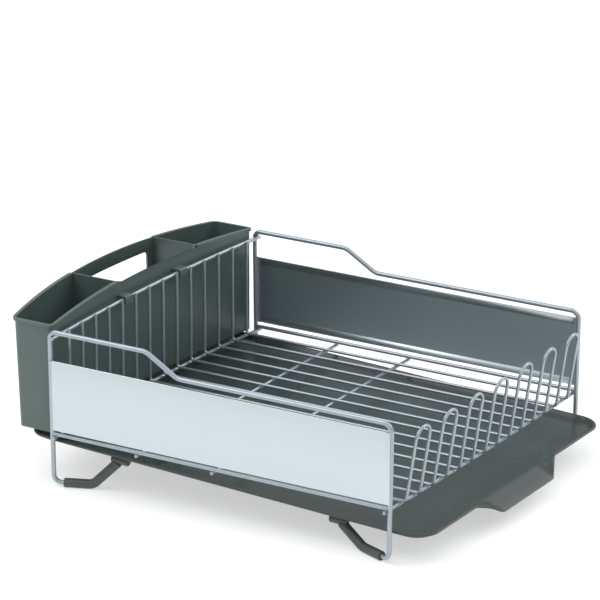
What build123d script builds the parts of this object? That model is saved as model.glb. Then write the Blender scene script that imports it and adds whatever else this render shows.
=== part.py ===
from build123d import *
import math
import os

# Dish drying rack: welded wire frame with sheet front and back, hairpin plate tines,
# a lift-off utensil caddy hung on the left rail, and a sloping drip tray under the floor.
# Millimetres. +X runs along the length to the pouring end, +Y from front to back, +Z up.
# The origin is on the standing surface, under the middle of the overall box.

# --- driving dimensions -------------------------------------------------------------
rack_length = 478.0          # leg to leg along X, at the feet
rack_depth = 475.0           # front frame to back frame, wire centres
left_leg_x = -228.12
frame_wire = 6.0             # front and back frames
base_wire = 5.0              # straight wire low down between two legs
rail_wire = 5.0
side_wire = 4.5              # wires from front to back under the floor
tine_wire = 4.0              # floor wires, tines and left uprights, one wire each pair
weld_set = 0.25              # how far crossed wires sink into each other

high_top_z = 202.0           # frame wire centre at the caddy end
low_top_z = 175.5            # frame wire centre past the step
step_start = 138.0           # along X from the left leg
step_end = 183.0
leg_splay = 2.3              # legs lean out by this at the top
base_z = 69.6
foot_centre_z = 5.7

tine_pairs = 7
tine_top_z = 162.0
tine_lean = 14.3
tine_outset = 7.9            # floor wires bend up this far past the right side wire
floor_bend = 5.0
side_bow = 3.0               # the right side wire and the tines bow outwards
rail_bow = 10.0              # the left rail and uprights bow outwards
rail_z = 194.0
upright_rise = 2.5           # the uprights end this far above the rail's centre
bearer_places = {"left_bearer": 124.0, "middle_bearer": 233.0}    # along X from the left leg
side_overhang = 6.5          # ends of the cross wires past the frames' centres
bearer_overhang = 4.0
rail_overhang = 4.5

panel_thickness = 0.8
panel_low_z = 75.0
panel_high_z = 166.0
panel_hem = 9.0
panel_hem_inset = 8.0        # the hems stop this short of the sheet's ends

foot_run = (46.0, 18.0)      # along X and Y from the leg to the bend
foot_top = (83.0, 25.0)      # along X and Y from the leg to the tray rest
foot_sleeve = 12.0
foot_bare = 13.0             # bare wire between the leg and the sleeve
rest_bar = 11.0
rest_bar_length = 24.0

tray_left = -49.0            # rim edge, along X from the left leg
tray_right = 524.0
tray_width = 463.0
tray_height = 8.0
tray_wall_run = 9.0          # how far the sloping walls lean out
tray_skin = 1.8
tray_lip = 3.0
tray_lip_thickness = 2.6
tray_wall_gain = 0.6         # the sloping walls are thicker than the floor by about this
tray_corner = 32.0
tray_slope = 2.33            # degrees, down to the pouring end
tray_rim_z = 60.0            # rim height above the left leg
spout_width_root = 202.0
spout_width_tip = 126.0
spout_y = -6.0               # the spout sits a little nearer the front
spout_start = 509.0
spout_tip = 543.0
spout_drop = 10.0
spout_tip_height = 4.4       # side walls at the tip, above the underside
spout_wall = 2.0

caddy_length = 463.0
caddy_inner = -3.0           # wall faces at the two ends, along X from the left leg
caddy_outer = -60.5
caddy_inner_bow = 13.5
caddy_outer_bow = 26.0
caddy_bottom_z = 67.5
caddy_rim_z = 208.0
caddy_arch = 10.4            # the rim rises by this in the middle
caddy_wall = 2.2
caddy_draft = 6.5            # outer wall leans in by this at the bottom
caddy_corner = 7.0
caddy_lip = 2.4
caddy_lip_height = 3.4
caddy_front_partition = 165.5    # along Y from the front frame
caddy_rear_partition = 347.5
caddy_middle_dip = 4.5
window_band = 18.0
window_height = 62.0
window_margin = 14.0
window_corner = 6.0
drain_hole = 5.2
drain_row_gap = 17.0         # two rows of drain holes along the caddy's floor
drain_pitch = 24.0
drain_row_shift = -8.0       # the rows lie outside the middle of the caddy's two ends
hook_width = 16.0
hook_pitches = 4             # hook to hook, in tine pitches
hook_thickness = 2.2
hook_drop = 8.0              # how far a hook reaches down past the top of the rail

clearance = 0.3

# --- derived places -----------------------------------------------------------------
right_leg_x = left_leg_x + rack_length
front_y = -rack_depth / 2
back_y = rack_depth / 2
tine_pitch = rack_depth / (2 * tine_pairs + 1)
floor_z = base_z - (base_wire - tine_wire) / 2
side_z = base_z - (base_wire + side_wire) / 2 + weld_set
side_inset = (frame_wire + side_wire) / 2 - weld_set
rail_inset = (frame_wire + rail_wire) / 2 - leg_splay - weld_set
slope = math.radians(tray_slope)
rest_z_drop = tray_height + clearance + rest_bar / 2

os.makedirs("parts", exist_ok=True)


def save(piece, name):
    """Label a finished piece and write its STEP file."""
    piece.part.label = name
    export_step(piece.part, f"parts/{name}.step")


def bow(y):
    """1 halfway between the frames, falling to 0 at them, as on a shallow arc."""
    return 1 - (y / back_y) ** 2


def leg_x(leg, z):
    """Where a leaning leg stands at height z."""
    lean = leg_splay * (z - foot_centre_z) / (high_top_z - foot_centre_z)
    return left_leg_x - lean if leg == "left" else right_leg_x + lean


def tray_z(x_from_leg, below_rim=0.0):
    """Height of the sloping tray's rim, or of a plane parallel to it."""
    return tray_rim_z - below_rim / math.cos(slope) - x_from_leg * math.tan(slope)


def wire_along(path, diameter):
    """Round wire swept along a path of lines and arcs."""
    with BuildPart() as wire:
        with BuildSketch(Plane(origin=path @ 0, z_dir=path % 0)):
            Circle(diameter / 2)
        sweep(path=path)
    return wire


def foot_points(leg, side):
    """Leg corner, bend and tray rest of one foot, from the leg inwards."""
    turn = 1 if leg == "left" else -1
    inward = 1 if side == "front" else -1
    leg_base = left_leg_x if leg == "left" else right_leg_x
    y = front_y if side == "front" else back_y
    along_top = foot_top[0] if leg == "left" else rack_length - foot_top[0]
    rest_z = tray_z(along_top, rest_z_drop)
    corner = Vector(leg_base, y, foot_centre_z)
    bend = Vector(leg_base + turn * foot_run[0], y + inward * foot_run[1], foot_centre_z)
    rest = Vector(leg_base + turn * foot_top[0], y + inward * foot_top[1], rest_z)
    return corner, bend, rest


def frame_path(side):
    """One continuous wire: tray rest, foot, leg, stepped top, leg, foot, tray rest."""
    y = front_y if side == "front" else back_y
    corner_l, bend_l, rest_l = foot_points("left", side)
    corner_r, bend_r, rest_r = foot_points("right", side)
    points = [
        rest_l,
        bend_l,
        corner_l,
        Vector(leg_x("left", high_top_z), y, high_top_z),
        Vector(left_leg_x + step_start, y, high_top_z),
        Vector(left_leg_x + step_end, y, low_top_z),
        Vector(leg_x("right", low_top_z), y, low_top_z),
        corner_r,
        bend_r,
        rest_r,
    ]
    radii = [14, 10, 9, 22, 22, 11, 10, 14]
    with BuildLine() as line:
        FilletPolyline(*points, radius=radii)
    return line.wires()[0]


def sleeve_path(leg, side):
    """The part of a foot that the soft sleeve covers."""
    corner, bend, rest = foot_points(leg, side)
    start = corner + (bend - corner).normalized() * foot_bare
    with BuildLine() as line:
        FilletPolyline(start, bend, rest, radius=14)
    return line.wires()[0]


# --- front and back frames ----------------------------------------------------------
frames = {}
for side in ("front", "back"):
    frames[side] = wire_along(frame_path(side), frame_wire)

# --- base wires, from leg to leg ----------------------------------------------------
base_wires = {}
for side in ("front", "back"):
    y = front_y if side == "front" else back_y
    with BuildPart() as base:
        with BuildSketch(Plane(origin=(leg_x("left", base_z), y, base_z), z_dir=(1, 0, 0))):
            Circle(base_wire / 2)
        extrude(amount=leg_x("right", base_z) - leg_x("left", base_z))
        add(frames[side].part, mode=Mode.SUBTRACT)
    base_wires[side] = base

# --- feet: soft sleeves and tray rest bars ------------------------------------------
for side in ("front", "back"):
    for leg in ("left", "right"):
        rest_point = foot_points(leg, side)[2]
        bar_start = rest_point - Vector(math.cos(slope), 0, -math.sin(slope)) * (rest_bar_length / 2)
        bar_plane = Plane(origin=bar_start, z_dir=(math.cos(slope), 0, -math.sin(slope)))
        with BuildPart() as bar:
            with BuildSketch(bar_plane):
                Circle(rest_bar / 2)
            extrude(amount=rest_bar_length)
            fillet(bar.edges().filter_by(GeomType.CIRCLE), radius=1.5)
        with BuildPart() as sleeve:
            add(wire_along(sleeve_path(leg, side), foot_sleeve).part)
            with Locations((0, 0, -foot_sleeve / 2)):
                Box(2 * rack_length, 2 * rack_depth, foot_sleeve, mode=Mode.SUBTRACT)
            add(frames[side].part, mode=Mode.SUBTRACT)
            add(bar.part, mode=Mode.SUBTRACT)
        with BuildPart() as rest:
            add(bar.part)
            add(frames[side].part, mode=Mode.SUBTRACT)
        save(sleeve, f"foot_sleeve_{side}_{leg}")
        save(rest, f"tray_rest_{side}_{leg}")

for side in ("front", "back"):
    save(frames[side], f"{side}_frame")
    save(base_wires[side], f"{side}_base_wire")


# --- wires from front to back -------------------------------------------------------
def cross_wire(x_end, x_middle, z, diameter, overhang):
    """A wire from front to back, straight or bowed, with rounded ends past the frames."""
    reach = back_y + overhang
    with BuildLine() as line:
        if x_end == x_middle:
            Line((x_end, -reach, z), (x_end, reach, z))
        else:
            ThreePointArc((x_end, -reach, z), (x_middle, 0, z), (x_end, reach, z))
    wire = wire_along(line.wires()[0], diameter)
    with BuildPart() as rounded:
        add(wire.part)
        ends = rounded.edges().filter_by(GeomType.CIRCLE).sort_by(Axis.Y)
        fillet([ends[0], ends[-1]], radius=diameter * 0.3)
    return rounded


right_side_x = leg_x("right", base_z) - side_inset
left_side_x = leg_x("left", base_z) + side_inset
for name, x_end, bulge in (
    ("right_side_wire", right_side_x, side_bow),
    ("left_side_wire", left_side_x, -rail_bow),
):
    save(cross_wire(x_end, x_end + bulge, side_z, side_wire, side_overhang), name)
for name, x_from_leg in bearer_places.items():
    x_bearer = left_leg_x + x_from_leg
    save(cross_wire(x_bearer, x_bearer, side_z, side_wire, bearer_overhang), name)

rail_x = left_leg_x + rail_inset
save(cross_wire(rail_x, rail_x - rail_bow, rail_z, rail_wire, rail_overhang), "left_rail")


# --- hairpin wires: upright, floor, tine, tine, floor, upright ----------------------
def hairpin_path(index):
    """One wire bent over on itself: both floor runs, the tine loop and both uprights."""
    y_near = front_y + tine_pitch * (2 * index + 1)
    y_far = y_near + tine_pitch
    ends = []
    for y in (y_near, y_far):
        upright_x = rail_x - rail_bow * bow(y) + (rail_wire + tine_wire) / 2 - weld_set
        tine_x = right_side_x + side_bow * bow(y) + tine_outset
        ends.append((upright_x, tine_x, y))
    (up_a, base_a, y_a), (up_b, base_b, y_b) = ends
    points = [
        (up_a, y_a, rail_z + upright_rise),
        (up_a, y_a, floor_z),
        (base_a, y_a, floor_z),
        (base_a + tine_lean, y_a, tine_top_z),
        (base_b + tine_lean, y_b, tine_top_z),
        (base_b, y_b, floor_z),
        (up_b, y_b, floor_z),
        (up_b, y_b, rail_z + upright_rise),
    ]
    top_radius = tine_pitch / 2 - 0.6
    radii = [floor_bend, floor_bend, top_radius, top_radius, floor_bend, floor_bend]
    with BuildLine() as line:
        FilletPolyline(*points, radius=radii)
    return line.wires()[0]


for index in range(tine_pairs):
    save(wire_along(hairpin_path(index), tine_wire), f"hairpin_wire_{index + 1}")


# --- sheet panels on the outside of the frames --------------------------------------
def panel(side):
    """Plain steel sheet with its top and bottom edges folded back on the inside."""
    outward = -1 if side == "front" else 1
    y_back = (front_y if side == "front" else back_y) + outward * frame_wire / 2
    left = leg_x("left", panel_high_z)
    right = leg_x("right", panel_high_z)
    height = panel_high_z - panel_low_z
    middle = Plane(
        origin=((left + right) / 2, y_back, (panel_low_z + panel_high_z) / 2),
        x_dir=(1, 0, 0),
        z_dir=(0, outward, 0),
    )
    with BuildPart() as sheet:
        with BuildSketch(middle):
            RectangleRounded(right - left, height, 3.0)
        extrude(amount=panel_thickness)
        hem_shift = (height - panel_hem) / 2
        with BuildSketch(middle):
            with Locations((0, hem_shift), (0, -hem_shift)):
                Rectangle(right - left - 2 * panel_hem_inset, panel_hem)
        extrude(amount=-panel_thickness)
        outer_face = sheet.faces().sort_by(Axis.Y)[0 if side == "front" else -1]
        fillet(outer_face.edges(), radius=0.35)
    return sheet


for side in ("front", "back"):
    save(panel(side), f"{side}_panel")

# --- drip tray ----------------------------------------------------------------------
tray_middle = (tray_left + tray_right) / 2
tray_length = (tray_right - tray_left) / math.cos(slope)
along = Vector(math.cos(slope), 0, -math.sin(slope))
tray_floor_plane = Plane(
    origin=(left_leg_x + tray_middle, 0, tray_z(tray_middle, tray_height)),
    x_dir=along,
    z_dir=(math.sin(slope), 0, math.cos(slope)),
)
lean_angle = math.degrees(math.atan((tray_wall_run - tray_lip) / (tray_height - tray_skin)))


def spout_loft(root_width, tip_width, low, root_height, tip_height):
    """A wedge from the tray floor out to the spout's tip, low above the floor's underside."""
    ends = (
        (spout_start, 0.0, root_width, root_height),
        (spout_tip, -spout_drop, tip_width, tip_height),
    )
    with BuildPart() as wedge:
        for x_from_leg, drop, width, height in ends:
            along_tray = (x_from_leg - tray_middle) / math.cos(slope)
            origin = tray_floor_plane.from_local_coords((along_tray, 0, drop))
            with BuildSketch(Plane(origin=origin, x_dir=(0, 1, 0), z_dir=along)):
                with Locations((spout_y, (low + height) / 2)):
                    Rectangle(width, height - low)
        loft()
    return wedge.part


spout_channel = spout_loft(
    spout_width_root - 2 * spout_wall,
    spout_width_tip - 2 * spout_wall,
    tray_skin,
    4 * tray_height,
    4 * tray_height,
)

with BuildPart() as drip_tray:
    foot_length = tray_length - 2 * tray_wall_run
    foot_width = tray_width - 2 * tray_wall_run
    with BuildSketch(tray_floor_plane):
        RectangleRounded(foot_length, foot_width, tray_corner - tray_wall_run)
    extrude(amount=tray_height, taper=-lean_angle)
    with BuildSketch(tray_floor_plane.offset(tray_height - tray_lip_thickness)):
        RectangleRounded(tray_length, tray_width, tray_corner)
    extrude(amount=tray_lip_thickness)
    # the pouring spout: a ramp with splayed sides that drops outwards past the rim
    add(spout_loft(spout_width_root, spout_width_tip, 0.0, tray_height, spout_tip_height))
    with BuildSketch(tray_floor_plane.offset(tray_skin)):
        inside = (foot_length - 2 * tray_wall_gain, foot_width - 2 * tray_wall_gain)
        RectangleRounded(*inside, tray_corner - tray_wall_run)
    extrude(amount=tray_height, taper=-lean_angle, mode=Mode.SUBTRACT)
    add(spout_channel, mode=Mode.SUBTRACT)
save(drip_tray, "drip_tray")


# --- utensil caddy ------------------------------------------------------------------
def caddy_outline(inset, lean):
    """Plan of the caddy: flat ends, both long walls bowed outwards."""
    end = caddy_length / 2 - inset
    inner = left_leg_x + caddy_inner - inset
    outer = left_leg_x + caddy_outer + inset + lean
    with BuildSketch() as outline:
        with BuildLine():
            Line((outer, -end), (inner, -end))
            ThreePointArc((inner, -end), (inner - caddy_inner_bow, 0), (inner, end))
            Line((inner, end), (outer, end))
            ThreePointArc((outer, end), (outer - caddy_outer_bow, 0), (outer, -end))
        make_face()
        fillet(outline.vertices(), radius=caddy_corner - inset)
    return outline.sketch


def caddy_solid(inset, low_z):
    """The drafted outer shape of the caddy, or with an inset the space inside its walls."""
    with BuildPart() as solid:
        with BuildSketch(Plane.XY.offset(low_z)):
            add(caddy_outline(inset, caddy_draft))
        with BuildSketch(Plane.XY.offset(caddy_top)):
            add(caddy_outline(inset, 0.0))
        loft(ruled=True)
    return solid.part


def arch_block(drop, upwards):
    """Everything above the arched rim, less drop, or everything below it."""
    end = caddy_length / 2 + 10
    rim = caddy_rim_z - drop
    far = rim + (80 if upwards else -80)
    with BuildPart() as block:
        with BuildSketch(Plane(origin=(left_leg_x - 150, 0, 0), x_dir=(0, 1, 0), z_dir=(1, 0, 0))):
            with BuildLine():
                ThreePointArc((-end, rim - 0.8), (0, rim + caddy_arch), (end, rim - 0.8))
                Polyline((end, rim - 0.8), (end, far), (-end, far), (-end, rim - 0.8))
            make_face()
        extrude(amount=300)
    return block.part


def bay_block(low_y, high_y, low_z):
    """A plain block over one bay, for keeping a cut inside it."""
    with BuildPart() as block:
        with Locations((left_leg_x - 60, (low_y + high_y) / 2, low_z)):
            Box(160, high_y - low_y, 200, align=(Align.CENTER, Align.CENTER, Align.MIN))
    return block.part


partition_y = [front_y + caddy_front_partition, front_y + caddy_rear_partition]
caddy_top = caddy_rim_z + caddy_arch + 5
half_wall = caddy_wall / 2
front_bay = (-caddy_length / 2, partition_y[0] - half_wall)
middle_bay = (partition_y[0] + half_wall, partition_y[1] - half_wall)
rear_bay = (partition_y[1] + half_wall, caddy_length / 2)

with BuildPart() as rim_lip:
    with BuildSketch(Plane.XY.offset(caddy_rim_z - 25)):
        add(caddy_outline(-caddy_lip, 0.0))
    extrude(amount=60)
    add(arch_block(0.0, True), mode=Mode.SUBTRACT)
    add(arch_block(caddy_lip_height, False), mode=Mode.SUBTRACT)
    add(bay_block(*middle_bay, caddy_bottom_z), mode=Mode.SUBTRACT)

caddy_cavity = caddy_solid(caddy_wall, caddy_bottom_z + caddy_wall)
pockets = [caddy_cavity & bay_block(*bay, caddy_bottom_z) for bay in (front_bay, middle_bay, rear_bay)]
inner_half = Pos(left_leg_x, 0, 0) * Box(80, rack_depth, 600)
low_edge = arch_block(caddy_middle_dip, True) & bay_block(*middle_bay, caddy_bottom_z) & inner_half

with BuildPart() as caddy:
    add(caddy_solid(0.0, caddy_bottom_z))
    add(arch_block(0.0, True), mode=Mode.SUBTRACT)
    add(rim_lip.part)
    add(pockets, mode=Mode.SUBTRACT)
    # the middle bay's inner wall stops lower than the cups
    add(low_edge, mode=Mode.SUBTRACT)
    # its outer wall is an open window under a band
    window_low = caddy_rim_z + caddy_arch - window_band - window_height
    window_y = (middle_bay[0] + middle_bay[1]) / 2
    window_width = middle_bay[1] - middle_bay[0] - 2 * window_margin
    window_x = left_leg_x + (caddy_inner + caddy_outer) / 2 - caddy_inner_bow
    window_depth = caddy_outer_bow + (caddy_inner - caddy_outer) / 2
    with BuildSketch(Plane(origin=(window_x, window_y, window_low), x_dir=(0, 1, 0), z_dir=(1, 0, 0))):
        with Locations((0, window_height / 2)):
            RectangleRounded(window_width, window_height, window_corner)
    extrude(amount=-window_depth, mode=Mode.SUBTRACT)
    # drain holes in the floor of each bay
    for bay in (front_bay, middle_bay, rear_bay):
        bay_length = bay[1] - bay[0]
        hole_count = int(bay_length // drain_pitch)
        floor_x = left_leg_x + (caddy_inner + caddy_outer) / 2 + drain_row_shift
        with BuildSketch(Plane((floor_x, (bay[0] + bay[1]) / 2, caddy_bottom_z - 1))):
            with GridLocations(drain_row_gap, bay_length / (hole_count + 0.5), 2, hole_count):
                Circle(drain_hole / 2)
        extrude(amount=caddy_wall + 2, mode=Mode.SUBTRACT)
    # two hooks that drop over the left rail, thickened where they meet the wall
    for hook_y in (-hook_pitches / 2 * tine_pitch, hook_pitches / 2 * tine_pitch):
        root_x = left_leg_x + caddy_inner - caddy_inner_bow * bow(hook_y) - caddy_wall / 2
        rail_here = rail_x - rail_bow * bow(hook_y)
        under = rail_z + rail_wire / 2 + clearance
        past = rail_here + rail_wire / 2 + clearance
        with BuildSketch(Plane(origin=(0, hook_y - hook_width / 2, 0), x_dir=(1, 0, 0), z_dir=(0, -1, 0))):
            with BuildLine():
                Polyline(
                    (root_x, under + 4 * hook_thickness),
                    (root_x, under),
                    (past, under),
                    (past, under - hook_drop),
                    (past + hook_thickness, under - hook_drop),
                    (past + hook_thickness, under + hook_thickness / 2),
                    (past + hook_thickness / 2, under + hook_thickness),
                    (root_x + caddy_wall, under + 1.5 * hook_thickness),
                    (root_x, under + 4 * hook_thickness),
                )
            make_face()
        extrude(amount=-hook_width)
save(caddy, "caddy")
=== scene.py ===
import math

import bmesh
import bpy
from bmesh.types import BMEdge, BMFace, BMVert
from mathutils import Matrix, Vector


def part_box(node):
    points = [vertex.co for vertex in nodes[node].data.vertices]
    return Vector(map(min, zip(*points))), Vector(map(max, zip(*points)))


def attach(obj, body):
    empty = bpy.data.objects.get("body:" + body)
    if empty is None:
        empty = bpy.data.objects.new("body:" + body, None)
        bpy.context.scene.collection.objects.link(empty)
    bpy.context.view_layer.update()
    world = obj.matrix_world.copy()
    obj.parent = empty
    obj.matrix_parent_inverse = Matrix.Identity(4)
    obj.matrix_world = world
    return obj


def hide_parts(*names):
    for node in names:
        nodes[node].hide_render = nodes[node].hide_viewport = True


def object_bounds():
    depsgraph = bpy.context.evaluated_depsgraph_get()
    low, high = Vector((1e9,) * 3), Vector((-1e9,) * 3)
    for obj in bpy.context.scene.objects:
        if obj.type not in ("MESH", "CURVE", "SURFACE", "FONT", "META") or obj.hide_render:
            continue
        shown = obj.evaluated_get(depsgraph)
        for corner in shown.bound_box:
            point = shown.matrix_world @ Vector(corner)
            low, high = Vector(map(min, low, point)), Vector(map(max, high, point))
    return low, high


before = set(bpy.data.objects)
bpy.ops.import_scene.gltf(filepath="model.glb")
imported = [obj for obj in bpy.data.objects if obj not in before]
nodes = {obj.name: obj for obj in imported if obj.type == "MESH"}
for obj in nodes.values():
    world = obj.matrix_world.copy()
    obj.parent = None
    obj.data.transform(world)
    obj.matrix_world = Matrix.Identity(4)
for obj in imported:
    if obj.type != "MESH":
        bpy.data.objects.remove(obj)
cad_low, cad_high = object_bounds()

# --- Wire frames and rails -----------------------------------------------------------
# The rack's skeleton is drawn steel rod, bent cold and resistance welded, then given a
# satin silver-blue stove enamel that lies a little uneven and shines softly.

rod_radius = 0.003
left_splay = 0.0023
right_splay = 0.0019895
frame_low, frame_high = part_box("front_frame")
leg_left = frame_low.x + rod_radius + left_splay
leg_right = frame_high.x - rod_radius - right_splay
base_low, base_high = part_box("front_base_wire")
front_y = (base_low.y + base_high.y) / 2


class Term:
    """A shader socket that arithmetic can be written on: each sign adds its Math node."""

    def __init__(self, finish, socket):
        self.finish = finish
        self.socket = socket

    def math(self, operation, *terms):
        return self.finish.node("ShaderNodeMath", {"operation": operation}, dict(enumerate(terms)))

    def __add__(self, other):
        return self.math("ADD", self, other)

    def __radd__(self, other):
        return self.math("ADD", other, self)

    def __mul__(self, other):
        return self.math("MULTIPLY", self, other)

    def __rmul__(self, other):
        return self.math("MULTIPLY", other, self)


class Finish:
    """One surface finish: a material whose Principled shader is fed by terms."""

    def __init__(self, name, **constants):
        self.material = bpy.data.materials.new(name)
        self.material.use_nodes = True
        self.tree = self.material.node_tree
        self.shader = self.tree.nodes["Principled BSDF"]
        for socket, value in constants.items():
            self.shader.inputs[socket.replace("_", " ")].default_value = value
        self.place = self.node("ShaderNodeTexCoord", output="Object")

    def node(self, kind, settings=None, inputs=None, output=0):
        made = self.tree.nodes.new(kind)
        for key, value in (settings or {}).items():
            setattr(made, key, value)
        for key, value in (inputs or {}).items():
            self.feed(made.inputs[key], value)
        return Term(self, made.outputs[output])

    def feed(self, socket, value):
        if isinstance(value, Term):
            self.tree.links.new(value.socket, socket)
        else:
            socket.default_value = value

    def stretched(self, scale):
        """The place on the piece, scaled by three numbers."""
        return self.node("ShaderNodeMapping", inputs={"Vector": self.place, "Scale": scale})

    def noise(self, scale, detail=3.0, at=None):
        """Noise from 0 to 1 with that many blotches to the metre."""
        sockets = {"Vector": at or self.place, "Scale": scale, "Detail": detail}
        return self.node("ShaderNodeTexNoise", inputs=sockets)

    def ramp(self, term, low, high):
        """0 where the term is below low and 1 where it is above high."""
        ramped = self.node("ShaderNodeValToRGB", inputs={"Fac": term})
        black, white = ramped.socket.node.color_ramp.elements
        black.position, white.position = low, high
        return ramped

    def blend(self, share, a, b):
        settings = {"data_type": "RGBA", "clamp_factor": True}
        return self.node("ShaderNodeMix", settings, {0: share, 6: a, 7: b}, output=2)

    def bump(self, height, distance, strength=1.0, under=None):
        sockets = {"Height": height, "Distance": distance, "Strength": strength}
        if under is not None:
            sockets["Normal"] = under
        return self.node("ShaderNodeBump", inputs=sockets)

    def wear(self, **terms):
        for socket, value in terms.items():
            self.feed(self.shader.inputs[socket.replace("_", " ")], value)
        return self.material


def coat(piece, material):
    """Give a piece one finish all over."""
    piece.data.materials.clear()
    piece.data.materials.append(material)


enamel = Finish("satin_enamel", Metallic=0.7, Coat_Weight=0.15, Coat_Roughness=0.25)
enamel_cloud = enamel.noise(55.0, 4.0)
enamel_peel = enamel.noise(1400.0, 2.0)
enamel_speck = enamel.ramp(enamel.noise(2600.0, 1.0), 0.66, 0.74)
enamel_tone = enamel.blend(enamel_cloud, (0.33, 0.385, 0.42, 1), (0.43, 0.49, 0.53, 1))
enamel_tone = enamel.blend(enamel_speck * 0.35, enamel_tone, (0.20, 0.22, 0.24, 1))
enamel_coat = enamel.wear(
    Base_Color=enamel_tone,
    Roughness=0.27 + enamel_cloud * 0.14 + enamel_peel * 0.05,
    Normal=enamel.bump(enamel_peel, 0.00006, 0.6),
)
for name, node in nodes.items():
    if "wire" in name or "frame" in name or "rail" in name or "bearer" in name:
        coat(node, enamel_coat)

# --- Weld beads ----------------------------------------------------------------------
# Wherever two rods cross they are resistance welded. The metal squeezed out leaves a low
# round bead on each side of the joint, which the enamel covers.

bead_size = (0.0021, 0.0021, 0.0012)
bead_from_leg = 0.004
tine_radius = 0.002
side_radius = 0.00225
rail_radius = 0.0025


def linked(name, mesh):
    """Turn a bmesh into an object in the scene."""
    data = bpy.data.meshes.new(name)
    mesh.to_mesh(data)
    mesh.free()
    made = bpy.data.objects.new(name, data)
    bpy.context.scene.collection.objects.link(made)
    return made


def finished(name, mesh, material, body, sharp=35):
    """Turn a bmesh into a smooth-shaded piece that rides on a body."""
    piece = linked(name, mesh)
    piece.data.shade_smooth()
    piece.data.set_sharp_from_angle(angle=math.radians(sharp))
    coat(piece, material)
    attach(piece, body)
    return piece


def bowed_x(name, y, radius, bulge):
    """Centre of a bowed rod at a place across the rack; it bulges towards -X or +X."""
    low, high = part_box(name)
    sag = high.x - low.x - 2 * radius
    share = 1 - (y / high.y) ** 2
    return high.x - radius - sag * share if bulge < 0 else low.x + radius + sag * share


def weld_bead(mesh, place, lean=None):
    """One flattened round bead; lean turns its flat side from level to upright."""
    shape = Matrix.Translation(place) @ (lean or Matrix()) @ Matrix.Diagonal((*bead_size, 1))
    bmesh.ops.create_uvsphere(mesh, u_segments=8, v_segments=5, radius=1.0, matrix=shape)


upright_turn = Matrix.Rotation(math.pi / 2, 4, "Y")
beads = bmesh.new()
floor_low, floor_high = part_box("hairpin_wire_1")
bearer_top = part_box("middle_bearer")[1].z
rail_middle_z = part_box("left_rail")[1].z - rail_radius
floor_wires = []
for index in range(1, 8):
    loop_low, loop_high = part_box(f"hairpin_wire_{index}")
    floor_wires += [loop_low.y + tine_radius, loop_high.y - tine_radius]
bearer_x = [(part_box(name)[0].x + side_radius) for name in ("left_bearer", "middle_bearer")]
for y in floor_wires:
    for x in bearer_x + [bowed_x("right_side_wire", y, side_radius, 1)]:
        weld_bead(beads, (x, y, bearer_top))
    x = bowed_x("left_rail", y, rail_radius, -1) + rail_radius
    weld_bead(beads, (x, y, rail_middle_z), upright_turn)
for y in (front_y, -front_y):
    for x in bearer_x + [leg_left + bead_from_leg, leg_right - bead_from_leg]:
        weld_bead(beads, (x, y, bearer_top))
finished("weld_beads", beads, enamel_coat, "rack", sharp=80)

# --- Sheet panels --------------------------------------------------------------------
# Front and back are plain stainless sheet, brushed along its length, with the top and
# bottom edges folded back for stiffness and spot welded to the outside of the frames.

brushed = Finish("brushed_steel", Metallic=1.0)
brushed_lines = brushed.noise(1.0, 3.0, brushed.stretched((14.0, 900.0, 5200.0)))
brushed_bands = brushed.noise(1.0, 2.0, brushed.stretched((5.0, 60.0, 260.0)))
brushed_cloud = brushed.noise(9.0, 2.0)
brushed_coat = brushed.wear(
    Base_Color=brushed.blend(brushed_lines, (0.55, 0.615, 0.635, 1), (0.66, 0.73, 0.75, 1)),
    Roughness=0.30 + brushed_lines * 0.12 + brushed_bands * 0.06 + brushed_cloud * 0.04,
    Normal=brushed.bump(brushed_lines, 0.00003, 0.35),
)

hem_height = 0.009
hem_short = 0.008
sheet_thickness = 0.0006
tiny = 1e-6


def only(kind, geometry):
    """The vertices, edges or faces out of a mix of them."""
    return [item for item in geometry if isinstance(item, kind)]


for name, outward in (("front_panel", -1), ("back_panel", 1)):
    low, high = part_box(name)
    fold_radius = (high.y - low.y - sheet_thickness) / 2
    middle_y = (low.y + high.y) / 2
    inner_y = middle_y - outward * fold_radius
    sheet = bmesh.new()
    # the sheet's section, from one hem's edge round both folds to the other
    edge = bmesh.ops.create_vert(sheet, co=(low.x, inner_y, low.z + hem_height))["vert"][0]
    lower_fold = low.z + fold_radius + sheet_thickness / 2
    upper_fold = high.z - fold_radius - sheet_thickness / 2
    for fold_z in (lower_fold, upper_fold):
        run = bmesh.ops.extrude_vert_indiv(sheet, verts=[edge])["verts"][0]
        run.co.z = fold_z
        turned = bmesh.ops.spin(
            sheet,
            geom=[run],
            cent=(0, middle_y, fold_z),
            axis=(1, 0, 0),
            angle=outward * math.pi,
            steps=8,
        )
        edge = turned["geom_last"][0]
    last = bmesh.ops.extrude_vert_indiv(sheet, verts=[edge])["verts"][0]
    last.co.z = high.z - hem_height
    section = sheet.edges[:]
    for x in (low.x + hem_short, high.x - hem_short, high.x):
        grown = bmesh.ops.extrude_edge_only(sheet, edges=section)["geom"]
        section = only(BMEdge, grown)
        for vert in only(BMVert, grown):
            vert.co.x = x
    bmesh.ops.remove_doubles(sheet, verts=sheet.verts, dist=tiny)
    # the hems stop short of the legs
    spare = []
    for face in sheet.faces:
        centre = face.calc_center_median()
        at_end = centre.x < low.x + hem_short or centre.x > high.x - hem_short
        on_hem = (centre.y - middle_y) * outward < -0.8 * fold_radius
        if at_end and on_hem:
            spare.append(face)
    bmesh.ops.delete(sheet, geom=spare, context="FACES")
    bmesh.ops.recalc_face_normals(sheet, faces=sheet.faces)
    piece = finished(f"{name}_sheet", sheet, brushed_coat, "rack", sharp=50)
    wall = piece.modifiers.new("thickness", "SOLIDIFY")
    wall.thickness = sheet_thickness
    wall.offset = 0
    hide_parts(name)

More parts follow.
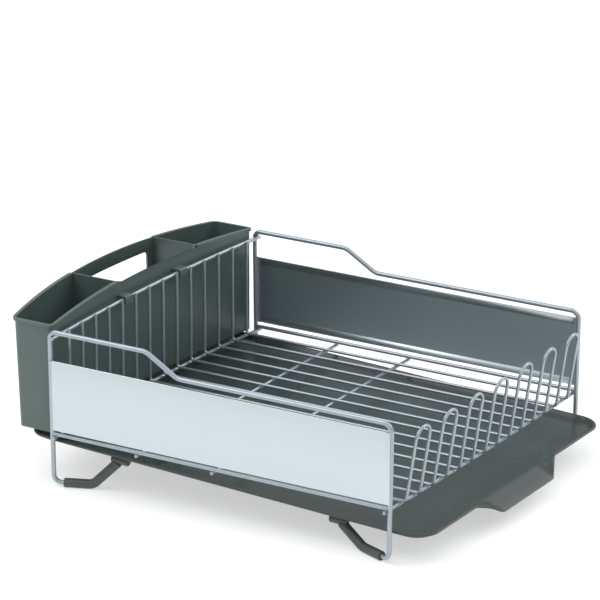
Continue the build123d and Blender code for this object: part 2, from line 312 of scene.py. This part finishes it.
# --- Feet ----------------------------------------------------------------------------
# Each rod end turns in under the rack as a foot, lies along the worktop and rises to a
# short bar that carries the tray. A soft dark sleeve is pushed over it, with a rolled mouth.

rubber = Finish("soft_sleeve", Specular_IOR_Level=0.45)
rubber_cloud = rubber.noise(70.0, 3.0)
rubber_grain = rubber.noise(2400.0, 2.0)
rubber_coat = rubber.wear(
    Base_Color=rubber.blend(rubber_cloud, (0.058, 0.070, 0.066, 1), (0.082, 0.097, 0.091, 1)),
    Roughness=0.42 + rubber_cloud * 0.12,
    Normal=rubber.bump(rubber_grain, 0.00006, 0.5),
)
for name, node in nodes.items():
    if "rest" in name:
        coat(node, rubber_coat)

sleeve_radius = 0.006
sleeve_bare = 0.013
sleeve_bend = 0.014
foot_reach = (0.046, 0.018)
foot_height = 0.0057
mouth_profile = (
    (0.0032, 0.0012),
    (0.0045, 0.0002),
    (0.0054, 0.0),
    (0.0059, 0.0006),
    (sleeve_radius, 0.0015),
)
# how far each ring round the closed end goes on, and how much narrower it is
closed_end = ((0.001, 0.94), (0.0004, 0.72))
for y, inward, side in ((front_y, 1, "front"), (-front_y, -1, "back")):
    for x, turn, leg in ((leg_left, 1, "left"), (leg_right, -1, "right")):
        rest_low, rest_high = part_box(f"tray_rest_{side}_{leg}")
        corner = Vector((x, y, foot_height))
        bend = corner + Vector((turn * foot_reach[0], inward * foot_reach[1], 0))
        rest = (rest_low + rest_high) / 2
        flat = (bend - corner).normalized()
        rise = (rest - bend).normalized()
        turn_angle = flat.angle(rise)
        setback = sleeve_bend * math.tan(turn_angle / 2)
        turn_axis = flat.cross(rise).normalized()
        bend_centre = bend - flat * setback + turn_axis.cross(flat) * sleeve_bend
        facing = flat.to_track_quat("Z", "Y").to_matrix().to_4x4()
        sleeve = bmesh.new()
        start = corner + flat * sleeve_bare
        rings = []
        for radius, along in mouth_profile:
            place = Matrix.Translation(start + flat * along) @ facing
            ring = bmesh.ops.create_circle(sleeve, segments=24, radius=radius, matrix=place)
            loop = [e for e in sleeve.edges if e.verts[0] in ring["verts"]]
            if rings:
                bmesh.ops.bridge_loops(sleeve, edges=rings[-1] + loop)
            rings.append(loop)
        run = bmesh.ops.extrude_edge_only(sleeve, edges=rings[-1])["geom"]
        run_length = (bend - start).length - setback - mouth_profile[-1][1]
        bmesh.ops.translate(sleeve, verts=only(BMVert, run), vec=flat * run_length)
        turned = bmesh.ops.spin(
            sleeve,
            geom=only(BMEdge, run),
            cent=bend_centre,
            axis=turn_axis,
            angle=turn_angle,
            steps=8,
        )
        loop = only(BMEdge, turned["geom_last"])
        rise_length = (rest - bend).length - setback - (rest_high.z - rest_low.z) / 2
        for length, narrowing in ((rise_length, 1.0), *closed_end):
            run = bmesh.ops.extrude_edge_only(sleeve, edges=loop)["geom"]
            moved = only(BMVert, run)
            loop = only(BMEdge, run)
            bmesh.ops.translate(sleeve, verts=moved, vec=rise * length)
            middle = sum((v.co for v in moved), Vector()) / len(moved)
            bmesh.ops.scale(
                sleeve, verts=moved, vec=(narrowing,) * 3, space=Matrix.Translation(-middle)
            )
        bmesh.ops.holes_fill(sleeve, edges=sleeve.edges, sides=0)
        bmesh.ops.remove_doubles(sleeve, verts=sleeve.verts, dist=tiny)
        # the soft sleeve lies flat where it meets the worktop
        for vert in sleeve.verts:
            vert.co.z = max(vert.co.z, 0.0)
        bmesh.ops.recalc_face_normals(sleeve, faces=sleeve.faces)
        piece = finished(f"soft_sleeve_{side}_{leg}", sleeve, rubber_coat, "rack")
        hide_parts(f"foot_sleeve_{side}_{leg}")

# --- Drip tray -----------------------------------------------------------------------
# A shallow moulding with a rolled rim, which lies on the four rests and slopes down to
# the right. Its low end opens into a pouring spout with splayed sides.

glazed = Finish("glossy_tray_plastic", Specular_IOR_Level=0.5)
glazed_cloud = glazed.noise(9.0, 3.0)
glazed_grain = glazed.noise(1500.0, 3.0)
glazed_scuff = glazed.ramp(glazed.noise(1.0, 4.0, glazed.stretched((30.0, 260.0, 60.0))), 0.60, 0.72)
glazed_coat = glazed.wear(
    Base_Color=glazed.blend(glazed_cloud, (0.030, 0.044, 0.041, 1), (0.040, 0.058, 0.053, 1)),
    Roughness=0.24 + glazed_cloud * 0.08 + glazed_scuff * 0.10,
    Normal=glazed.bump(glazed_grain, 0.00003, 0.25),
)
tray_low, tray_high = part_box("drip_tray")
tray_slope = math.radians(2.33)
tray_depth = 0.008
spout_reach = 0.019
spout_middle = -0.006
spout_root = 0.101
spout_tip = 0.063
spout_fall = 0.010
spout_lowering = 0.93
shoulder_start = spout_root - 0.012
shoulder_end = spout_tip - 0.001
floor_skin = 0.0018
wall_run = 0.011
rim_edge_height = 0.0055
tray_corner = 0.032
tray_skin = 0.0016
bend_strips = (0.0125, 0.035)
tray_length = (tray_high.x - tray_low.x) / math.cos(tray_slope) - spout_reach
tray_width = tray_high.y - tray_low.y
tray_place = (
    Matrix.Translation((tray_low.x, 0, tray_high.z))
    @ Matrix.Rotation(tray_slope, 4, "Y")
    @ Matrix.Translation((0, 0, -tray_depth))
)
across_axis = Vector((0, 1, 0))
along_axis = Vector((1, 0, 0))


def rounded_plate(mesh, shape, radius, segments):
    """Start a mesh with one flat face: a unit square shaped by a matrix, corners rounded."""
    bmesh.ops.create_grid(mesh, x_segments=1, y_segments=1, size=0.5, matrix=shape)
    bmesh.ops.bevel(
        mesh,
        geom=mesh.verts[:],
        offset=radius,
        affect="VERTICES",
        segments=segments,
        profile=0.5,
        material=-1,
    )


def slice_through(mesh, axis, places):
    """Add cuts right through a mesh, square to an axis, at those places along it."""
    for place in places:
        everything = mesh.verts[:] + mesh.edges[:] + mesh.faces[:]
        bmesh.ops.bisect_plane(mesh, geom=everything, plane_co=axis * place, plane_no=axis)


tray = bmesh.new()
outline = (
    Matrix.Translation((tray_length / 2, 0, rim_edge_height))
    @ Matrix.Diagonal((tray_length, tray_width, 1, 1))
)
rounded_plate(tray, outline, tray_corner, 14)
inner_face = tray.faces[:][0]
rim_profile = (
    (0.00005, 0.0072),
    (0.00035, 0.0078),
    (0.0010, 0.0080),
    (0.0026, 0.0080),
    (0.0033, 0.0077),
    (0.0039, 0.0071),
    (0.0086, 0.0026),
    (0.0096, 0.00195),
    (wall_run, floor_skin),
)
done = 0.0
for reach, height in rim_profile:
    bmesh.ops.inset_region(
        tray, faces=[inner_face], thickness=reach - done, use_even_offset=True, use_boundary=True
    )
    for vert in inner_face.verts:
        vert.co.z = height
    done = reach
# cuts a little past the spout, so that it can be shaped
cut_count = 60
cut_reach = 1.05 * spout_root
spout_cuts = [spout_middle + cut_reach * (2 * i / cut_count - 1) for i in range(cut_count + 1)]
slice_through(tray, across_axis, spout_cuts)
# narrow strips beside the bends keep the floor's shading flat
near, far = bend_strips
slice_through(tray, along_axis, (near, far, tray_length - far, tray_length - near))
slice_through(tray, across_axis, (near - tray_width / 2, tray_width / 2 - near))


def eased(value, start, end):
    """0 at start, 1 at end, level at both."""
    share = min(max((value - start) / (end - start), 0.0), 1.0)
    return share * share * (3 - 2 * share)


# the low end runs out into the spout, its floor dips and its rim comes down
for vert in tray.verts:
    u, v, w = vert.co
    reach = (u - (tray_length - wall_run)) / wall_run
    if reach > 0:
        across = abs(v - spout_middle)
        opened = min(max((spout_root - across) / (spout_root - spout_tip), 0.0), 1.0)
        lowered = eased(across, shoulder_start, shoulder_end)
        vert.co.x = u + opened * reach * spout_reach
        rim_left = (w - floor_skin) * (1 - spout_lowering * lowered)
        vert.co.z = floor_skin + rim_left - opened * spout_fall * reach
bmesh.ops.transform(tray, matrix=tray_place, verts=tray.verts)
bmesh.ops.recalc_face_normals(tray, faces=tray.faces)
if sum(face.normal.z for face in tray.faces) < 0:
    bmesh.ops.reverse_faces(tray, faces=tray.faces)
piece = finished("sloping_tray", tray, glazed_coat, "drip_tray", sharp=60)
wall = piece.modifiers.new("thickness", "SOLIDIFY")
wall.thickness = tray_skin
wall.offset = -1
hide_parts("drip_tray")

# --- Utensil caddy -------------------------------------------------------------------
# One moulding with three bays, bowed front to back, that hangs on the left rail by two
# hooks. Its rim arches, and the middle bay's outer wall is an open window under a band.

plastic = Finish("matt_plastic", Specular_IOR_Level=0.5)
plastic_cloud = plastic.noise(14.0, 3.0)
plastic_grain = plastic.noise(1500.0, 3.0)
plastic_coat = plastic.wear(
    Base_Color=plastic.blend(plastic_cloud, (0.074, 0.108, 0.101, 1), (0.094, 0.134, 0.125, 1)),
    Roughness=0.30 + plastic_cloud * 0.08 + plastic_grain * 0.05,
    Normal=plastic.bump(plastic_grain, 0.00005, 0.5),
)


def drawn_out(mesh, faces, move):
    """Draw faces out of a mesh by a vector; walls grow behind them and the old faces go."""
    grown = bmesh.ops.extrude_face_region(mesh, geom=faces)["geom"]
    bmesh.ops.delete(mesh, geom=[face for face in faces if face.is_valid], context="FACES")
    bmesh.ops.translate(mesh, verts=only(BMVert, grown), vec=move)
    return only(BMFace, grown)


caddy_low, caddy_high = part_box("caddy")
caddy_end = 0.2315
caddy_inner = leg_left - 0.003
caddy_outer = leg_left - 0.0605
caddy_inner_bow = 0.0135
caddy_outer_bow = 0.026
caddy_arch = 0.0104
caddy_rim = caddy_high.z - caddy_arch
caddy_waist = 0.15
caddy_corner = 0.007
inner_wall_drop = 0.0045
near_rim = 1e-5
caddy_wall = 0.0022
caddy_draft = 0.0065
lip_height = 0.0034
lip_width = 0.0024
partitions = (front_y + 0.1655, front_y + 0.3475)
caddy = bmesh.new()
outline = (
    Matrix.Translation(((caddy_inner + caddy_outer) / 2, 0, caddy_rim))
    @ Matrix.Diagonal((caddy_inner - caddy_outer, 2 * caddy_end, 1, 1))
)
rounded_plate(caddy, outline, caddy_corner, 6)
# cuts at the partitions, and evenly between them for the bow and the arch
cuts = [side + half for side in partitions for half in (-caddy_wall / 2, caddy_wall / 2)]
cut_count = 40
least_apart = 0.004
for step in range(1, cut_count):
    across = caddy_end * (2 * step / cut_count - 1)
    if all(abs(across - cut) > least_apart for cut in cuts):
        cuts.append(across)
slice_through(caddy, across_axis, cuts)
# outer walls and underside, from the rim downwards
rim_loop = [edge for edge in caddy.edges if edge.is_boundary]
level = caddy_rim
for drop_to in (caddy_rim - lip_height, caddy_waist, caddy_low.z):
    grown = bmesh.ops.extrude_edge_only(caddy, edges=rim_loop)["geom"]
    rim_loop = only(BMEdge, grown)
    bmesh.ops.translate(caddy, verts=only(BMVert, grown), vec=(0, 0, drop_to - level))
    level = drop_to
bmesh.ops.edgeloop_fill(caddy, edges=rim_loop)
bmesh.ops.recalc_face_normals(caddy, faces=caddy.faces)
# the three bays
top_faces = [f for f in caddy.faces if f.calc_center_median().z > caddy_rim - near_rim]
bmesh.ops.inset_region(caddy, faces=top_faces, thickness=caddy_wall, use_even_offset=True)
bay_faces = [f for f in top_faces if f.is_valid]
for bay_low, bay_high in (
    (-1.0, partitions[0]),
    (partitions[0], partitions[1]),
    (partitions[1], 1.0),
):
    bay = []
    for face in [face for face in bay_faces if face.is_valid]:
        y = face.calc_center_median().y
        if bay_low < y < bay_high and min(abs(y - side) for side in partitions) > caddy_wall / 2:
            bay.append(face)
    level = caddy_rim
    for drop_to in (caddy_waist, caddy_low.z + caddy_wall):
        bay = drawn_out(caddy, bay, (0, 0, drop_to - level))
        level = drop_to
# the lip round the two end bays
band = []
for face in caddy.faces:
    centre = face.calc_center_median()
    on_end_bay = centre.y < partitions[0] or centre.y > partitions[1]
    upright = face.normal.xy.length > 0.9 and centre.z < caddy_rim
    heights = [vert.co.z for vert in face.verts]
    at_rim = max(heights) > caddy_rim - near_rim and min(heights) > caddy_rim - 2 * lip_height
    if on_end_bay and upright and at_rim:
        band.append(face)
pushed = drawn_out(caddy, band, (0, 0, 0))
bmesh.ops.recalc_face_normals(caddy, faces=caddy.faces)
for vert in {vert for face in pushed for vert in face.verts}:
    around = sum((face.normal for face in vert.link_faces if face in pushed), Vector())
    around.z = 0
    vert.co += around.normalized() * lip_width
# the middle bay's inner wall is lower
for vert in caddy.verts:
    inside_bay = partitions[0] + caddy_wall < vert.co.y < partitions[1] - caddy_wall
    on_inner_wall = vert.co.x > caddy_inner - 2 * caddy_wall
    if inside_bay and on_inner_wall and vert.co.z > caddy_rim - near_rim:
        vert.co.z -= inner_wall_drop


def caddy_shape(place):
    """Bow, draft and arch of the moulding, from its straight-sided box."""
    x, y, z = place
    outwards = (caddy_inner - x) / (caddy_inner - caddy_outer)
    bow = 1 - (y / -front_y) ** 2
    bulge = caddy_inner_bow + (caddy_outer_bow - caddy_inner_bow) * outwards
    upper = (caddy_rim + caddy_arch - z) / (caddy_rim + caddy_arch - caddy_low.z)
    above_waist = max(0.0, (z - caddy_waist) / (caddy_rim - caddy_waist))
    lift = caddy_arch * (1 - (y / caddy_end) ** 2) * above_waist
    return Vector((x - bulge * bow + caddy_draft * outwards * upper, y, z + lift))


for vert in caddy.verts:
    vert.co = caddy_shape(vert.co)
bmesh.ops.recalc_face_normals(caddy, faces=caddy.faces)
moulding = finished("caddy_moulding", caddy, plastic_coat, "caddy", sharp=50)

# the window and the drain holes, cut through the moulding
cutter = bmesh.new()
band_height = 0.018
window_height = 0.062
window_side = 0.014
window_corner = 0.006
cutter_reach = 0.05
window_z = caddy_high.z - band_height - window_height / 2
window_front = partitions[0] + caddy_wall / 2 + window_side
window_back = partitions[1] - caddy_wall / 2 - window_side
window_shape = (
    Matrix.Translation((caddy_outer, (window_front + window_back) / 2, window_z))
    @ Matrix.Rotation(math.pi / 2, 4, "Y")
    @ Matrix.Diagonal((window_height, window_back - window_front, 1, 1))
)
rounded_plate(cutter, window_shape, window_corner, 6)
grown = bmesh.ops.extrude_face_region(cutter, geom=cutter.faces[:])["geom"]
bmesh.ops.translate(cutter, verts=only(BMVert, grown), vec=(-cutter_reach, 0, 0))
bays = (
    (-caddy_end, partitions[0] - caddy_wall / 2),
    (partitions[0] + caddy_wall / 2, partitions[1] - caddy_wall / 2),
    (partitions[1] + caddy_wall / 2, caddy_end),
)
hole_radius = 0.0026
hole_spacing = 0.024
hole_row = 0.0085
hole_depth = 0.012
hole_set_out = 0.008
hole_x = (caddy_inner + caddy_outer) / 2 - hole_set_out
for bay_front, bay_back in bays:
    hole_count = int((bay_back - bay_front) // hole_spacing)
    pitch = (bay_back - bay_front) / (hole_count + 0.5)
    for index in range(hole_count):
        y = (bay_front + bay_back) / 2 + (index - (hole_count - 1) / 2) * pitch
        for row in (-hole_row, hole_row):
            bmesh.ops.create_cone(
                cutter,
                cap_ends=True,
                segments=16,
                radius1=hole_radius,
                radius2=hole_radius,
                depth=hole_depth,
                matrix=Matrix.Translation((hole_x + row, y, caddy_low.z)),
            )
bmesh.ops.recalc_face_normals(cutter, faces=cutter.faces)
cutter_object = linked("cutter", cutter)
opening = moulding.modifiers.new("openings", "BOOLEAN")
opening.operation = "DIFFERENCE"
opening.solver = "EXACT"
opening.object = cutter_object
depsgraph = bpy.context.evaluated_depsgraph_get()
cut_mesh = bpy.data.meshes.new_from_object(moulding.evaluated_get(depsgraph))
moulding.modifiers.clear()
moulding.data = cut_mesh
bpy.data.objects.remove(cutter_object)
rounding = moulding.modifiers.new("rounding", "BEVEL")
rounding.width = 0.0006
rounding.segments = 2
rounding.limit_method = "ANGLE"
rounding.angle_limit = math.radians(50)
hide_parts("caddy")

# two hooks over the rail, each a strap bent down behind it
hooks = bmesh.new()
hook_thickness = 0.0022
hook_width = 0.016
hook_place = 0.19 / 3
hook_gap = 0.0003
hook_root = 0.001
hook_drop = 0.0075
hook_steps = 6
rail_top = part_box("left_rail")[1].z
for hook_y in (-hook_place, hook_place):
    wall_x = caddy_shape(Vector((caddy_inner, hook_y, rail_top))).x
    rail_x = bowed_x("left_rail", hook_y, rail_radius, -1)
    under = rail_top + hook_gap
    past = rail_x + rail_radius + hook_gap
    section = (
        Matrix.Translation((wall_x - hook_root, hook_y, under + hook_thickness / 2))
        @ Matrix.Rotation(math.pi / 2, 4, "Y")
        @ Matrix.Diagonal((hook_thickness, hook_width, 1, 1))
    )
    made = bmesh.ops.create_grid(hooks, x_segments=1, y_segments=1, size=0.5, matrix=section)
    face = made["verts"][0].link_faces[0]
    grown = bmesh.ops.extrude_face_region(hooks, geom=[face])["geom"]
    bmesh.ops.translate(hooks, verts=only(BMVert, grown), vec=(past - wall_x + hook_root, 0, 0))
    end = only(BMFace, grown)
    for step in range(hook_steps):
        end = drawn_out(hooks, end, (0, 0, 0))
        corners = {vert for item in end for vert in item.verts}
        bmesh.ops.rotate(
            hooks,
            verts=list(corners),
            cent=(past, 0, under),
            matrix=Matrix.Rotation(math.pi / 2 / hook_steps, 3, "Y"),
        )
    drawn_out(hooks, end, (0, 0, -hook_drop))
bmesh.ops.recalc_face_normals(hooks, faces=hooks.faces)
finished("caddy_hooks", hooks, plastic_coat, "caddy", sharp=50)

# --- Stage ---------------------------------------------------------------------------
# A pale floor that runs out of sight and glows a little, a surround that is darker low
# down and bright above, and two large soft lamps.

floor_reach = 30.0
floor_gap = 0.0002
floor_mesh = bmesh.new()
bmesh.ops.create_grid(floor_mesh, x_segments=1, y_segments=1, size=floor_reach)
floor = linked("studio_floor", floor_mesh)
floor.location.z = -floor_gap
pale = Finish("pale_floor", Emission_Color=(1, 1, 1, 1), Emission_Strength=0.52)
pale_cloud = pale.noise(0.6, 2.0)
coat(floor, pale.wear(
    Base_Color=pale.blend(pale_cloud, (0.60, 0.60, 0.60, 1), (0.63, 0.63, 0.63, 1)),
    Roughness=0.75 + pale_cloud * 0.05,
))

scene = bpy.context.scene
scene.view_settings.view_transform = "Standard"
surround = bpy.data.worlds.new("surround")
surround.use_nodes = True
sky = surround.node_tree.nodes
sky_links = surround.node_tree.links
direction = sky.new("ShaderNodeTexCoord")
height = sky.new("ShaderNodeSeparateXYZ")
fade = sky.new("ShaderNodeValToRGB")
below, above = fade.color_ramp.elements
below.position, above.position = 0.28, 0.62
below.color = (0.34, 0.35, 0.36, 1)
above.color = (0.97, 0.985, 1.0, 1)
sky_links.new(direction.outputs["Generated"], height.inputs[0])
sky_links.new(height.outputs["Z"], fade.inputs["Fac"])
sky_links.new(fade.outputs["Color"], sky["Background"].inputs["Color"])
sky["Background"].inputs["Strength"].default_value = 1.05
scene.world = surround


def soft_lamp(name, place, target, size, power):
    data = bpy.data.lights.new(name, "AREA")
    data.shape = "RECTANGLE"
    data.size, data.size_y = size
    data.energy = power
    lamp = bpy.data.objects.new(name, data)
    lamp.location = place
    lamp.rotation_mode = "QUATERNION"
    lamp.rotation_quaternion = (Vector(target) - Vector(place)).to_track_quat("-Z", "Y")
    scene.collection.objects.link(lamp)


rack_middle = (cad_low + cad_high) / 2
soft_lamp("key_lamp", (-1.4, -1.3, 2.4), rack_middle, (1.6, 1.6), 22)
soft_lamp("back_lamp", (1.2, 2.2, 1.8), rack_middle, (2.2, 1.4), 22)

# --- Camera --------------------------------------------------------------------------
# A long lens from the front right, a little above the rack.

camera_turn = math.radians(31.13)
camera_height = math.radians(18.72)
camera_roll = math.radians(0.15)
camera_place = Vector((leg_left + 2.49815, front_y - 3.54901, 1.71113))
camera_data = bpy.data.cameras.new("camera")
camera_data.sensor_width = 36.0
camera_data.lens = 225.228
camera_data.clip_end = 100.0
camera = bpy.data.objects.new("camera", camera_data)
camera.rotation_mode = "QUATERNION"
look = Vector((
    -math.sin(camera_turn) * math.cos(camera_height),
    math.cos(camera_turn) * math.cos(camera_height),
    -math.sin(camera_height),
))
upright = look.to_track_quat("-Z", "Y")
camera.rotation_quaternion = Matrix.Rotation(-camera_roll, 3, look).to_quaternion() @ upright
camera.location = camera_place
scene.collection.objects.link(camera)
scene.camera = camera
